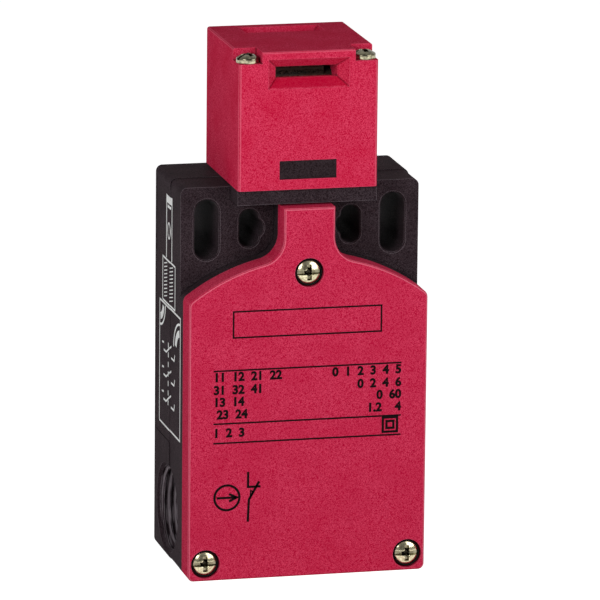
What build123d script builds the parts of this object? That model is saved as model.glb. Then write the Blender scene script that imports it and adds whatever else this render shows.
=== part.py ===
from build123d import *
import os
from math import cos, radians, sin

os.makedirs("parts", exist_ok=True)

# A safety switch that a flat tongue key operates: a black housing with a contact block, a red
# front cover and a red head with a cam wheel. Millimetres, X to the right, Y to the rear, Z up.
# The origin is under the middle of the housing's lowest face, halfway through the depth.

# Overall sizes
width = 52.0
depth = 33.0
housing_height = 83.5
head_width = 30.0
head_depth_share = 0.9288
head_height = 29.5

# Housing shell
housing_corner = 1.4
rear_half = 14.6
parting_step = 0.2
rear_edge = 0.8
rear_wall = 3.0
side_wall = 3.0
floor = 2.6
rim_height = 3.0
shelf_thickness = 3.1
shelf_setback = 0.5
marking_recess = 0.1
marking_margin = 1.4
marking_low = 26.0
marking_high = 81.0
cavity_top_share = 0.7126
cavity_corner = 3.0
ear_split_rise = 3.0

# Front cover
cover_thickness = 6.0
cover_wall = 2.2
cover_corner = 1.3
cover_edge = 0.5
shoulder_corner = 1.8
shoulder_low_share = 0.7234
shoulder_mid_x_share = 0.6395
shoulder_mid_share = 0.7886
shoulder_high_share = 0.8251
neck_width = 11.0
neck_gap = 0.5
neck_fillet = 5.5
neck_wall = 2.2
neck_pocket_land = 1.0
rib_thickness = 1.0
rib_height = 1.2
rib_spacing = 11.0
rib_count = 3

# Cover screws, their sealing rings and the gasket
cover_screw_side_inset = 4.0
cover_screw_z = 3.7
cover_screw_top_share = 0.7904
cover_screw_radius = 1.5
cover_screw_head_radius = 2.7
cover_screw_head_height = 2.0
cover_screw_recess_radius = 3.15
cover_screw_recess = 1.9
cover_screw_engagement = 6.0
screw_proud = 0.1
screw_tip_gap = 1.0
retainer_radius = 2.4
retainer_land = 0.4
retainer_thickness = 0.8
gasket_inset = 0.5
gasket_width = 1.0
gasket_thickness = 1.2
press_clearance = 0.02

# Fixing slots in the ears
slot_centre_share = 0.8868
outer_slot_spacing_share = 0.775
outer_slot_width = 5.3
outer_slot_height = 13.0
inner_slot_spacing_share = 0.4231
inner_slot_width = 4.3
inner_slot_height = 8.2
inner_hole_shift = 1.0
slot_chamfer = 0.3
chamfer_angle = 45.0

# Cable entries in both sides
entry_rear_wall = 3.8
entry_floor_wall = 1.8
entry_from_rear_share = 0.487
entry_boss_wall = 1.7
entry_length = 9.0
entry_chamfer = 0.6

# Tongue slots and corner notches of the head
head_corner = 0.7
head_top_edge = 0.5
slot_opening_width = 13.35
slot_opening_height = 2.45
slot_mouth_width = 17.4
slot_mouth_height = 6.3
slot_mouth_depth = 2.3
slot_throat_length = 1.2
cam_window_depth = 2.0
front_slot_drop = 4.8
tongue_end_wall = 5.65
notch_width = 5.0
notch_depth = 5.7
notch_drop = 2.5
plug_width = 12.3
plug_height = 4.0
plug_length = 3.0
plug_centre_up = 4.2
plug_clearance = 0.03
plug_edge = 0.2

# Head screws on a square, so that the head can be set in four directions
head_screw_side_inset = 2.5
head_screw_end_inset = 2.825
head_screw_radius = 1.25
head_screw_head_radius = 2.45
head_screw_head_height = 1.9
head_screw_clearance = 0.15
head_screw_end_gap = 0.2

# Cam wheel and its axle
tangent_radius = 9.225
disc_overlap = 1.2
disc_width = 12.0
hub_radius = 7.4
hub_width = 16.0
cam_room = 0.7
cam_side_gap = 0.6
lobe_radius = 9.5
cam_turn = 60.0
spiral_overrun = 5.0
dwell_turn = 20.0
rise_turn = 35.0
relief_turn = 95.0
spiral_steps = 6
full_turn = 360.0
tooth_notch_width = 3.4
tooth_notch_depth = 3.2
hub_recess_depth = 0.8
hub_recess_wall = 1.2
hub_boss_radius = 3.4
axle_radius = 2.0
axle_end = 4.0
running_clearance = 0.05

# Base plate and gasket of the head
plate_thickness = 2.0
plate_clearance = 0.1
collar_height = 2.0
collar_wall = 2.0
post_clearance = 0.05
head_gasket_radius = 10.3
head_gasket_width = 1.6
head_gasket_thickness = 1.2

# Plunger
plunger_radius = 3.0
plunger_tip_radius = 1.0
plunger_tip_gap = 0.35
plunger_foot_gap = 0.05
plunger_neck_depth = 0.4
plunger_neck_length = 3.0
plunger_neck_up = 3.0
seal_radius = 6.0
seal_thickness = 2.4
seal_lip = 0.8

# Contact block
block_side_gap = 2.8
guide_wall = 1.375
block_bottom_gap = 0.9
block_top_gap = 0.5
block_corner = 1.0
block_end_gap = 0.3
partition = 1.2
chamber_share = 0.625
chamber_rear_gap = 0.5
tower_half_width = 6.5
tower_drop = 6.5
tower_wall = 1.5
carrier_half_width = 3.0
carrier_half_depth = 3.6
carrier_foot_gap = 1.0
carrier_clearance = 0.1
travel_share = 0.6957

# Contacts
strip_thickness = 0.8
bridge_share = 0.88
bridge_half_depth = 2.0
contact_radius = 1.3
contact_height = 0.5
contact_share = 0.688
contact_gap = 0.15
blade_inner_share = 0.504
blade_end_gap = 0.3
terminal_inner_share = 0.475
terminal_share = 0.78
terminal_side_gap = 0.6
terminal_edge = 0.2
terminal_screw_radius = 1.5
terminal_screw_head_share = 0.4355
terminal_screw_head_height = 1.9
terminal_screw_depth = 7.0
clamp_share = 0.64
clamp_width = 6.2
clamp_thickness = 0.8

# Springs
bridge_spring_radius = 1.35
bridge_spring_wire = 0.4
bridge_spring_height = 2.4
bridge_spring_turns = 3.0
return_spring_radius = 2.6
return_spring_wire = 0.6
return_spring_turns = 4.0
spring_end_gap = 0.05

# Screws of the contact block
block_screw_radius = 1.25
block_screw_head_share = 0.0639
block_screw_head_height = 1.7
block_screw_share = 0.8
block_screw_inset_share = 0.0667
block_screw_wall = 1.2

# Screw heads: domed with a slot and a cross outside, flat with a slot inside
dome_share = 0.45
dome_blend = 0.3
driver_slot_width = 0.8
driver_slot_depth = 0.9
driver_cross_share = 0.6
cheese_edge = 0.25

# Planes, centres and sizes that follow from the sizes above
head_depth = depth * head_depth_share
rear_y = depth / 2
cover_front_y = -depth / 2 + screw_proud
rim_y = cover_front_y + cover_thickness
ear_y = rim_y + rim_height
parting_y = rear_y - rear_half
cavity_rear_y = rear_y - rear_wall
cavity_half_width = width / 2 - parting_step - side_wall
cavity_top = housing_height * cavity_top_share
ear_split_z = cavity_top + ear_split_rise
cover_half_width = width / 2 - parting_step
shoulder_low = housing_height * shoulder_low_share
shoulder_mid_x = cover_half_width * shoulder_mid_x_share
shoulder_mid_z = housing_height * shoulder_mid_share
shoulder_high = housing_height * shoulder_high_share
cover_screw_x = width / 2 - cover_screw_side_inset
cover_screw_top_z = housing_height * cover_screw_top_share
slot_centre_z = housing_height * slot_centre_share
outer_slot_x = width / 2 * outer_slot_spacing_share
inner_slot_x = width / 2 * inner_slot_spacing_share
screw_boss_radius = retainer_radius + retainer_land + gasket_inset + gasket_width
shelf_z = housing_height - shelf_thickness
neck_top = shelf_z - neck_gap
head_front_y = rear_y - head_depth
head_y = rear_y - head_depth / 2
head_top = housing_height + head_height
tongue_reach = head_depth - tongue_end_wall
front_slot_z = head_top - front_slot_drop
top_slot_y = head_y + tangent_radius
cam_z = front_slot_z - tangent_radius
disc_radius = tangent_radius + disc_overlap
cam_cavity_radius = disc_radius + cam_room
cam_cavity_half_width = hub_width / 2 + cam_side_gap
notch_floor = head_top - notch_drop
plunger_tip = cam_z - lobe_radius - plunger_tip_gap
entry_from_rear = (rear_y - rim_y) * entry_from_rear_share
entry_y = rear_y - entry_from_rear
entry_radius = entry_from_rear - entry_rear_wall
entry_centre_z = entry_radius + entry_floor_wall
block_front_y = head_y - carrier_half_depth - carrier_clearance - guide_wall
block_half_width = cavity_half_width - block_side_gap
block_bottom = entry_centre_z + entry_radius + entry_boss_wall + block_bottom_gap
block_top = cavity_top - block_top_gap
block_height = block_top - block_bottom
block_screw_head_radius = block_height * block_screw_head_share
block_screw_inset = block_height * block_screw_inset_share
block_end = block_screw_inset + block_screw_head_radius + block_end_gap + terminal_edge
pole_middle_z = (block_bottom + block_top) / 2
pole_pitch = (block_height - 2 * block_end) / (2 + clamp_share)
chamber_half_width = block_half_width * chamber_share
chamber_height = pole_pitch - partition
contact_stack = 2 * strip_thickness + 2 * contact_height + contact_gap
plunger_travel = (chamber_height - contact_stack) * travel_share
carrier_top = block_top - plunger_travel
carrier_bottom = block_bottom + carrier_foot_gap
bridge_half_length = chamber_half_width * bridge_share
contact_x = chamber_half_width * contact_share
blade_inner_x = chamber_half_width * blade_inner_share
blade_outer_x = chamber_half_width - blade_end_gap
terminal_inner_x = block_half_width * terminal_inner_share
terminal_outer_x = block_half_width - terminal_side_gap
terminal_x = block_half_width * terminal_share
clamp_height = pole_pitch * clamp_share
terminal_half_height = clamp_height / 2 + terminal_edge
terminal_screw_head_radius = clamp_height * terminal_screw_head_share
block_screw_x = block_half_width * block_screw_share
chamber_rear_y = head_y + carrier_half_depth + chamber_rear_gap
tower_bottom = block_bottom - tower_drop
spring_seat = tower_bottom + tower_wall
terminal_face_y = block_front_y - strip_thickness
sides = (-1, 1)
match_tolerance = 0.01
poles = {"lower": -1, "middle": 0, "upper": 1}
half_chamber = chamber_height / 2


def slab(sketch, front_y, back_y):
    """A profile drawn in X and Z, made solid between two planes across Y."""
    return extrude(Plane.XZ.offset(-back_y) * sketch, back_y - front_y)


def bar(sketch, left_x, right_x):
    """A profile drawn in Y and Z, made solid between two planes across X."""
    return extrude(Plane.YZ.offset(left_x) * sketch, right_x - left_x)


def block(x0, x1, y0, y1, z0, z1):
    """A plain block between two corners."""
    centre = Pos((x0 + x1) / 2, (y0 + y1) / 2, (z0 + z1) / 2)
    return centre * Box(abs(x1 - x0), abs(y1 - y0), abs(z1 - z0))


def post(radius, z0, z1, x=0.0, y=0.0):
    """A round bar along Z."""
    return extrude(Pos(x, y, z0) * Circle(radius), z1 - z0)


def rod(radius, front_y, back_y, x, z):
    """A round bar along Y."""
    return slab(Pos(x, z) * Circle(radius), front_y, back_y)


def axle(radius, left_x, right_x, y, z):
    """A round bar along X."""
    return bar(Pos(y, z) * Circle(radius), left_x, right_x)


def upright_slot(slot_width, slot_height, x, z):
    """An upright slot profile with round ends."""
    return Pos(x, z) * (Rot(0, 0, 90) * SlotOverall(slot_height, slot_width))


def corners_at(profile, height):
    """The corners of a flat profile that lie at one height."""
    return profile.vertices().filter_by_position(
        Axis.Y, height - match_tolerance, height + match_tolerance
    )


def cover_profile(half_width, top):
    """The spade outline: straight sides, arched shoulders and a narrow neck."""
    neck = neck_width / 2
    with BuildSketch() as outline:
        with BuildLine():
            side = Line((half_width, 0), (half_width, shoulder_low))
            arch = ThreePointArc(side @ 1, (shoulder_mid_x, shoulder_mid_z), (neck, shoulder_high))
            Polyline(arch @ 1, (neck, top), (0, top))
            Line((0, 0), (half_width, 0))
            mirror(about=Plane.YZ)
        make_face()
    profile = outline.sketch
    profile = fillet(corners_at(profile, 0), cover_corner)
    profile = fillet(corners_at(profile, shoulder_low), shoulder_corner)
    return fillet(corners_at(profile, shoulder_high), neck_fillet)


def cavity_profile():
    """The wiring cavity's opening, stepped round the two lower screw bosses."""
    opening_height = cavity_top - floor
    profile = Pos(0, floor + opening_height / 2) * Rectangle(2 * cavity_half_width, opening_height)
    top_corners = profile.vertices().group_by(Axis.Y)[-1]
    profile = fillet(top_corners, cavity_corner)
    for side in sides:
        profile -= Pos(side * cover_screw_x, cover_screw_z) * Circle(screw_boss_radius)
    return profile


def cover_screw_places():
    """Centres of the three cover screws in X and Z."""
    return [(0.0, cover_screw_top_z)] + [(side * cover_screw_x, cover_screw_z) for side in sides]


def head_screw_places():
    """Centres of the four tapped holes for the head in X and Y, the front pair first."""
    half_x = head_width / 2 - head_screw_side_inset
    half_y = head_depth / 2 - head_screw_end_inset
    return [(x * half_x, head_y + y * half_y) for y in sides for x in sides]


def block_screw_places():
    """Centres of the two contact block screws in X and Z, on a diagonal."""
    return [
        (-block_screw_x, block_top - block_screw_inset),
        (block_screw_x, block_bottom + block_screw_inset),
    ]


def terminal_places():
    """Centres of the six terminal screws in X and Z."""
    return [(side * terminal_x, pole_z(step)) for step in poles.values() for side in sides]


def pole_z(step):
    """Middle height of a contact chamber."""
    return pole_middle_z + step * pole_pitch


def gasket_ring():
    """The gasket's outline: a band that follows the cavity's opening."""
    inner = offset(cavity_profile(), gasket_inset)
    outer = offset(cavity_profile(), gasket_inset + gasket_width)
    return outer - inner


def whole_housing():
    """One moulding: the shell with its ears, the raised rim, the shelf and the entry bosses."""
    rear_face = Pos(0, housing_height / 2) * RectangleRounded(width, housing_height, housing_corner)
    shell = slab(rear_face, parting_y, rear_y)
    shell = fillet(shell.faces().sort_by(Axis.Y)[-1].outer_wire().edges(), rear_edge)
    front_height = housing_height - parting_step
    front_face = RectangleRounded(width - 2 * parting_step, front_height, housing_corner)
    shell += slab(Pos(0, front_height / 2) * front_face, ear_y, parting_y)
    shell += slab(cover_profile(cover_half_width, shelf_z), rim_y, ear_y)
    half_head = head_width / 2
    shelf_front = head_front_y + shelf_setback
    shell += block(-half_head, half_head, shelf_front, parting_y, shelf_z, housing_height)
    shell -= slab(cavity_profile(), rim_y, cavity_rear_y)
    for side in sides:
        inner_x = width / 2 - entry_length
        wall_x = cover_half_width - side_wall / 2
        ends = sorted((side * inner_x, side * wall_x))
        boss_radius = entry_radius + entry_boss_wall
        shell += axle(boss_radius, ends[0], ends[1], entry_y, entry_centre_z)
    for side in sides:
        ends = sorted((side * width / 2, side * (width / 2 - entry_length)))
        shell -= axle(entry_radius, ends[0], ends[1], entry_y, entry_centre_z)
        mouth = Plane((side * width / 2, entry_y, entry_centre_z), z_dir=(-side, 0, 0))
        cone = Cone(
            entry_radius + entry_chamfer,
            entry_radius,
            entry_chamfer,
            align=(Align.CENTER, Align.CENTER, Align.MIN),
        )
        shell -= mouth * cone
        field_x = sorted((side * width / 2, side * (width / 2 - marking_recess)))
        field_y = rear_y - marking_margin
        shell -= block(field_x[0], field_x[1], parting_y, field_y, marking_low, marking_high)
    shell = cut_fixing_slots(shell)
    return cut_head_seat(cut_screw_holes(shell))


def cut_fixing_slots(shell):
    """The outer slots, and the inner slots that each share a round hole towards the middle."""
    profiles = []
    for side in sides:
        outer_x = side * outer_slot_x
        profiles.append(upright_slot(outer_slot_width, outer_slot_height, outer_x, slot_centre_z))
        inner_x = side * inner_slot_x
        inner = upright_slot(inner_slot_width, inner_slot_height, inner_x, slot_centre_z)
        hole_x = side * (inner_slot_x - inner_hole_shift)
        hole = Pos(hole_x, slot_centre_z) * Circle(inner_slot_width / 2)
        profiles.append(inner + hole)
    for profile in profiles:
        shell -= slab(profile, ear_y, rear_y)
        edge_plane = Plane.XZ.offset(-ear_y - slot_chamfer)
        shell -= extrude(edge_plane * profile, slot_chamfer, taper=-chamfer_angle)
    return shell


def cut_screw_holes(shell):
    """Blind holes of the cover screws and the contact block screws."""
    cover_hole = cover_screw_radius + running_clearance
    for x, z in cover_screw_places():
        shell -= rod(cover_hole, rim_y, rim_y + cover_screw_engagement, x, z)
    block_hole = block_screw_radius + running_clearance
    for x, z in block_screw_places():
        shell -= rod(block_hole, cavity_rear_y, rear_y - block_screw_wall, x, z)
    return shell


def cut_head_seat(shell):
    """The plunger's bore with its seal seat, the head gasket's groove and the tapped holes."""
    bore = plunger_radius + running_clearance
    shell -= post(bore, cavity_top, housing_height, 0, head_y)
    seat = housing_height - seal_thickness
    shell -= post(seal_radius + press_clearance, seat, housing_height, 0, head_y)
    groove_floor = housing_height - head_gasket_thickness
    inner = head_gasket_radius - head_gasket_width
    groove = post(head_gasket_radius, groove_floor, housing_height, 0, head_y)
    shell -= groove - post(inner, groove_floor, housing_height, 0, head_y)
    for x, y in head_screw_places():
        shell -= post(head_screw_radius + running_clearance, shelf_z, housing_height, x, y)
    pocket_half = neck_width / 2 - neck_wall
    pocket_low = cover_screw_top_z + cover_screw_recess_radius + neck_pocket_land
    pocket_high = neck_top - neck_wall
    pocket_depth_y = head_y - plunger_radius - neck_pocket_land
    pocket = block(-pocket_half, pocket_half, rim_y, pocket_depth_y, pocket_low, pocket_high)
    return shell - pocket


def cover():
    """A shallow shell with sunk screw seats and stiffening ribs inside."""
    body = slab(cover_profile(cover_half_width, neck_top), cover_front_y, rim_y)
    body = fillet(body.faces().sort_by(Axis.Y)[0].outer_wire().edges(), cover_edge)
    inside_y = cover_front_y + cover_wall
    pocket = offset(cavity_profile(), -gasket_inset)
    body -= slab(pocket, inside_y, rim_y)
    body -= slab(gasket_ring(), rim_y - gasket_thickness, rim_y)
    rib_length = 2 * (cavity_half_width - gasket_inset)
    for step in range(rib_count):
        rib_z = cavity_top - (step + 1) * rib_spacing
        rib = Pos(0, rib_z) * Rectangle(rib_length, rib_thickness)
        body += slab(rib, inside_y, inside_y + rib_height)
    for x, z in cover_screw_places():
        body -= rod(cover_screw_recess_radius, cover_front_y, cover_front_y + cover_screw_recess, x, z)
        body -= rod(cover_screw_radius + press_clearance, cover_front_y, rim_y, x, z)
        body -= rod(retainer_radius, rim_y - retainer_thickness, rim_y, x, z)
    return body


def cover_screw_retainers():
    """Three rings on the screw shanks, which keep the screws in the loose cover."""
    rings = []
    for x, z in cover_screw_places():
        ring = rod(retainer_radius - press_clearance, rim_y - retainer_thickness, rim_y, x, z)
        rings.append(ring - rod(cover_screw_radius + press_clearance, cover_front_y, rim_y, x, z))
    return Compound(rings)


def driver_slot(head_radius, head_height):
    """The straight slot across a screw's head."""
    half = driver_slot_width / 2
    slot_floor = head_height - driver_slot_depth
    return block(-head_radius, head_radius, -half, half, slot_floor, head_height)


def cheese_screw(radius, length, head_radius, head_height):
    """A cheese-head screw along -Z with its seat at the origin."""
    head = post(head_radius, 0, head_height)
    top_edge = head.edges().group_by(Axis.Z)[-1]
    head = chamfer(top_edge, cheese_edge)
    return head + post(radius, -length, 0) - driver_slot(head_radius, head_height)


def pan_screw(radius, length, head_radius, head_height):
    """A pan-head screw along -Z with its seat at the origin, and a slot with a cross in its head."""
    dome_height = head_height * dome_share
    wall_top = head_height - dome_height
    dome_radius = (head_radius**2 + dome_height**2) / (2 * dome_height)
    ball = Pos(0, 0, head_height - dome_radius) * Sphere(dome_radius)
    head = post(head_radius, 0, head_height) & ball
    shoulder = head.edges().filter_by_position(
        Axis.Z, wall_top - match_tolerance, wall_top + match_tolerance
    )
    head = fillet(shoulder, dome_blend)
    screw = head + post(radius, -length, 0)
    arm = head_radius * driver_cross_share
    cross = Rot(0, 0, 90) * driver_slot(arm, head_height)
    return screw - driver_slot(head_radius, head_height) - cross


def cover_screws():
    """The three pan-head screws of the cover, facing the front."""
    seat_y = cover_front_y + cover_screw_recess
    length = cover_thickness - cover_screw_recess + cover_screw_engagement - screw_tip_gap
    screw = pan_screw(cover_screw_radius, length, cover_screw_head_radius, cover_screw_head_height)
    facing = Rot(90, 0, 0)
    return Compound([Pos(x, seat_y, z) * facing * screw for x, z in cover_screw_places()])


def cover_gasket():
    """The rubber cord in the cover's groove."""
    return slab(gasket_ring(), rim_y - gasket_thickness, rim_y)


def cam_cavity():
    """The round-topped room of the cam wheel, open at the bottom."""
    straight = cam_z - housing_height
    room = Pos(head_y, cam_z) * Circle(cam_cavity_radius)
    room += Pos(head_y, housing_height + straight / 2) * Rectangle(2 * cam_cavity_radius, straight)
    return bar(room, -cam_cavity_half_width, cam_cavity_half_width)


def axle_seats(extra):
    """The two upright seats that take the axle's ends from below."""
    seats = Part()
    seat_end = cam_cavity_half_width + axle_end
    half = axle_radius + extra
    for side in sides:
        ends = sorted((side * cam_cavity_half_width, side * seat_end))
        seats += axle(half, ends[0], ends[1], head_y, cam_z)
        seats += block(ends[0], ends[1], head_y - half, head_y + half, housing_height, cam_z)
    return seats


def funnel(mouth_plane):
    """The tapered mouth of a tongue slot, sunk into the face that the plane lies on."""
    mouth = mouth_plane * Rectangle(slot_mouth_width, slot_mouth_height)
    throat = mouth_plane.offset(-slot_mouth_depth) * Rectangle(slot_opening_width, slot_opening_height)
    return loft([mouth.face(), throat.face()])


def plate_outline(clearance):
    """The base plate's outline in X and Y: the cavity's mouth with a wing on each side."""
    half_x = cam_cavity_half_width - clearance
    half_y = cam_cavity_radius - clearance
    wing_x = cam_cavity_half_width + axle_end - clearance
    wing_y = axle_radius + plate_thickness - clearance
    outline = Rectangle(2 * half_x, 2 * half_y) + Rectangle(2 * wing_x, 2 * wing_y)
    return Pos(0, head_y) * outline


def head_housing():
    """The red head: the cam's room, two tongue slots with windows to the cam, and notches."""
    half = head_width / 2
    footprint = Pos(0, head_y) * RectangleRounded(head_width, head_depth, head_corner)
    body = extrude(Pos(0, 0, housing_height) * footprint, head_height)
    body = fillet(body.faces().sort_by(Axis.Z)[-1].outer_wire().edges(), head_top_edge)
    for side in sides:
        inner_x = half - notch_width
        ends = sorted((side * inner_x, side * half))
        body -= block(
            ends[0], ends[1], head_front_y, head_front_y + notch_depth, notch_floor, head_top
        )
    hole_radius = head_screw_radius + head_screw_clearance
    for x, y in head_screw_places()[:2]:
        body -= post(hole_radius, housing_height, head_top, x, y)
    body -= cam_cavity()
    body -= axle_seats(press_clearance)
    body -= extrude(Pos(0, 0, housing_height) * plate_outline(0), plate_thickness)
    reach = tongue_reach
    half_opening = slot_opening_width / 2
    half_gap = slot_opening_height / 2
    body -= block(
        -half_opening,
        half_opening,
        head_front_y,
        head_front_y + reach,
        front_slot_z - half_gap,
        front_slot_z + half_gap,
    )
    body -= block(
        -half_opening,
        half_opening,
        top_slot_y - half_gap,
        top_slot_y + half_gap,
        head_top - reach,
        head_top,
    )
    window_start = slot_mouth_depth + slot_throat_length
    body -= block(
        -half_opening,
        half_opening,
        head_front_y + window_start,
        head_y,
        front_slot_z - half_gap - cam_window_depth,
        front_slot_z,
    )
    body -= block(
        -half_opening,
        half_opening,
        top_slot_y - half_gap - cam_window_depth,
        top_slot_y,
        cam_z,
        head_top - window_start,
    )
    body -= funnel(Plane((0, head_front_y, front_slot_z), x_dir=(1, 0, 0), z_dir=(0, -1, 0)))
    body -= funnel(Plane((0, top_slot_y, head_top), x_dir=(1, 0, 0), z_dir=(0, 0, 1)))
    plug_z = housing_height + plug_centre_up
    plug_hole = Pos(0, plug_z) * Rectangle(plug_width, plug_height)
    return body - slab(plug_hole, head_front_y, head_front_y + plug_length)


def slot_plug():
    """The black insert, flush with the head's front."""
    face = Rectangle(plug_width - 2 * plug_clearance, plug_height - 2 * plug_clearance)
    plug_z = housing_height + plug_centre_up
    plug = slab(Pos(0, plug_z) * face, head_front_y, head_front_y + plug_length)
    return chamfer(plug.faces().sort_by(Axis.Y)[0].outer_wire().edges(), plug_edge)


def head_screws():
    """The two long screws in the front corner notches of the head."""
    length = notch_floor - shelf_z - head_screw_end_gap
    screw = pan_screw(head_screw_radius, length, head_screw_head_radius, head_screw_head_height)
    return Compound([Pos(x, y, notch_floor) * screw for x, y in head_screw_places()[:2]])


def head_base_plate():
    """The plate that closes the head from below, with the axle's posts and the plunger's collar."""
    plate = extrude(Pos(0, 0, housing_height) * plate_outline(plate_clearance), plate_thickness)
    collar_radius = plunger_radius + collar_wall
    plate_top = housing_height + plate_thickness
    plate += post(collar_radius, plate_top, plate_top + collar_height, 0, head_y)
    half = axle_radius - post_clearance
    for side in sides:
        inner = cam_cavity_half_width + post_clearance
        outer = cam_cavity_half_width + axle_end - plate_clearance
        ends = sorted((side * inner, side * outer))
        top = cam_z - axle_radius - post_clearance
        plate += block(ends[0], ends[1], head_y - half, head_y + half, plate_top, top)
    bore = plunger_radius + running_clearance
    return plate - post(bore, housing_height, plate_top + collar_height, 0, head_y)


def head_gasket():
    """The flat rubber ring between the head and the housing."""
    floor_z = housing_height - head_gasket_thickness
    outer = head_gasket_radius - press_clearance
    inner = head_gasket_radius - head_gasket_width + press_clearance
    ring = post(outer, floor_z, housing_height, 0, head_y)
    return ring - post(inner, floor_z, housing_height, 0, head_y)


def cam_profile():
    """The cam disc seen along X: a disc whose lower edge is a spiral that lets the plunger rise.

    Angles run from straight down towards the rear. The spiral's radius falls by the plunger's
    travel over the wheel's turn, so the plunger rises evenly.
    """

    def at(angle, radius):
        return (head_y + radius * sin(radians(angle)), cam_z - radius * cos(radians(angle)))

    def spiral(angle):
        return lobe_radius - plunger_travel * angle / cam_turn

    last = cam_turn + spiral_overrun
    angles = [last * i / spiral_steps for i in range(spiral_steps + 1)]
    curve = [at(angle, spiral(angle)) for angle in angles]
    with BuildSketch() as profile:
        with BuildLine():
            dwell = ThreePointArc(
                at(-dwell_turn, lobe_radius), at(-dwell_turn / 2, lobe_radius), at(0, lobe_radius)
            )
            Line(at(-rise_turn, disc_radius), dwell @ 0)
            Spline(curve)
            middle = (last + relief_turn) / 2
            relief = ThreePointArc(
                at(last, spiral(last)), at(middle, spiral(last)), at(relief_turn, spiral(last))
            )
            edge = Line(relief @ 1, at(relief_turn, disc_radius))
            ThreePointArc(
                edge @ 1,
                at((relief_turn + full_turn - rise_turn) / 2, disc_radius),
                at(-rise_turn, disc_radius),
            )
        make_face()
    return profile.sketch


def cam_wheel():
    """The wheel that the tongue turns: a notched disc between two hubs."""
    wheel = bar(cam_profile(), -disc_width / 2, disc_width / 2)
    reach = (disc_radius**2 - (tangent_radius - slot_opening_height / 2) ** 2) ** 0.5
    for y, z in ((-reach, tangent_radius), (tangent_radius, reach)):
        along = Plane((0, head_y, cam_z), x_dir=(1, 0, 0), z_dir=(0, y, z))
        away = along.offset(disc_radius - tooth_notch_depth + tooth_notch_width / 2)
        cutter = away * Box(
            disc_width, tooth_notch_width, disc_radius, align=(Align.CENTER, Align.CENTER, Align.MIN)
        )
        round_end = away * (Rot(0, 90, 0) * Cylinder(tooth_notch_width / 2, disc_width))
        wheel -= cutter + round_end
    wheel += axle(hub_radius, -hub_width / 2, hub_width / 2, head_y, cam_z) - axle(
        hub_radius, -disc_width / 2, disc_width / 2, head_y, cam_z
    )
    for side in sides:
        ends = sorted((side * hub_width / 2, side * (hub_width / 2 - hub_recess_depth)))
        ring = axle(hub_radius - hub_recess_wall, ends[0], ends[1], head_y, cam_z)
        wheel -= ring - axle(hub_boss_radius, ends[0], ends[1], head_y, cam_z)
    bore = axle_radius + running_clearance
    return wheel - axle(bore, -hub_width / 2, hub_width / 2, head_y, cam_z)


def cam_axle():
    """The steel pin that carries the wheel."""
    end = cam_cavity_half_width + axle_end - plate_clearance
    return axle(axle_radius, -end, end, head_y, cam_z)


def plunger():
    """The push rod between the cam and the contact carrier, with a rounded nose across the top."""
    low = carrier_top + plunger_foot_gap
    stem = post(plunger_radius, low, plunger_tip, 0, head_y)
    nose_centre = plunger_tip - plunger_tip_radius
    flank = plunger_tip_radius * sin(radians(chamfer_angle))
    drop = plunger_radius - flank
    corner_z = nose_centre + flank - drop
    with BuildSketch() as side_view:
        with BuildLine():
            left = Line((head_y - plunger_radius, low), (head_y - plunger_radius, corner_z))
            ramp = Line(left @ 1, (head_y - flank, nose_centre + flank))
            tip = ThreePointArc(ramp @ 1, (head_y, plunger_tip), (head_y + flank, nose_centre + flank))
            down = Line(tip @ 1, (head_y + plunger_radius, corner_z))
            Polyline(down @ 1, (head_y + plunger_radius, low), left @ 0)
        make_face()
    stem &= bar(side_view.sketch, -plunger_radius, plunger_radius)
    waist_low = carrier_top + plunger_neck_up + plunger_travel
    waist = post(plunger_radius, waist_low, waist_low + plunger_neck_length, 0, head_y)
    core = post(
        plunger_radius - plunger_neck_depth, waist_low, waist_low + plunger_neck_length, 0, head_y
    )
    return stem - (waist - core)


def plunger_seal():
    """The rubber ring that wipes the plunger where it enters the housing."""
    seat = housing_height - seal_thickness
    ring = post(seal_radius, seat, housing_height, 0, head_y)
    ring -= post(plunger_radius + running_clearance, seat, housing_height, 0, head_y)
    lip_outer = seal_radius - seal_lip
    lip_inner = plunger_radius + seal_lip
    step = housing_height - seal_lip
    groove = post(lip_outer, step, housing_height, 0, head_y)
    return ring - (groove - post(lip_inner, step, housing_height, 0, head_y))


def contact_block_base():
    """The block's moulding: three chambers open to the front, with a tower for the spring."""
    face = RectangleRounded(2 * block_half_width, block_height, block_corner)
    outline = Pos(0, block_bottom + block_height / 2) * face
    body = slab(outline, block_front_y, cavity_rear_y)
    tower_front = head_y - tower_half_width
    body += block(
        -tower_half_width, tower_half_width, tower_front, cavity_rear_y, tower_bottom, block_bottom
    )
    for step in poles.values():
        chamber = Pos(0, pole_z(step)) * Rectangle(2 * chamber_half_width, chamber_height)
        body -= slab(chamber, block_front_y, chamber_rear_y)
    guide_x = carrier_half_width + carrier_clearance
    guide_y = carrier_half_depth + carrier_clearance
    body -= block(-guide_x, guide_x, head_y - guide_y, head_y + guide_y, spring_seat, block_top)
    for x, z in terminal_places():
        hole = terminal_screw_radius + running_clearance
        body -= rod(hole, block_front_y, block_front_y + terminal_screw_depth, x, z)
    for x, z in block_screw_places():
        body -= rod(block_screw_radius + press_clearance, block_front_y, cavity_rear_y, x, z)
    return body


def bridge_level(step):
    """Underside of a bridge at rest, and the window in the carrier that holds it.

    The two lower poles close when the carrier rises, the upper one when it falls.
    """
    middle = pole_z(step)
    if step < poles["upper"]:
        fixed_contact = middle + half_chamber - strip_thickness - contact_height
        contact_top = fixed_contact - contact_gap - plunger_travel
        low = contact_top - contact_height - strip_thickness
        return low, low - bridge_spring_height, low + strip_thickness
    fixed_contact = middle - half_chamber + strip_thickness + contact_height
    low = fixed_contact + contact_gap + contact_height
    return low, low, low + strip_thickness + bridge_spring_height


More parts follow.
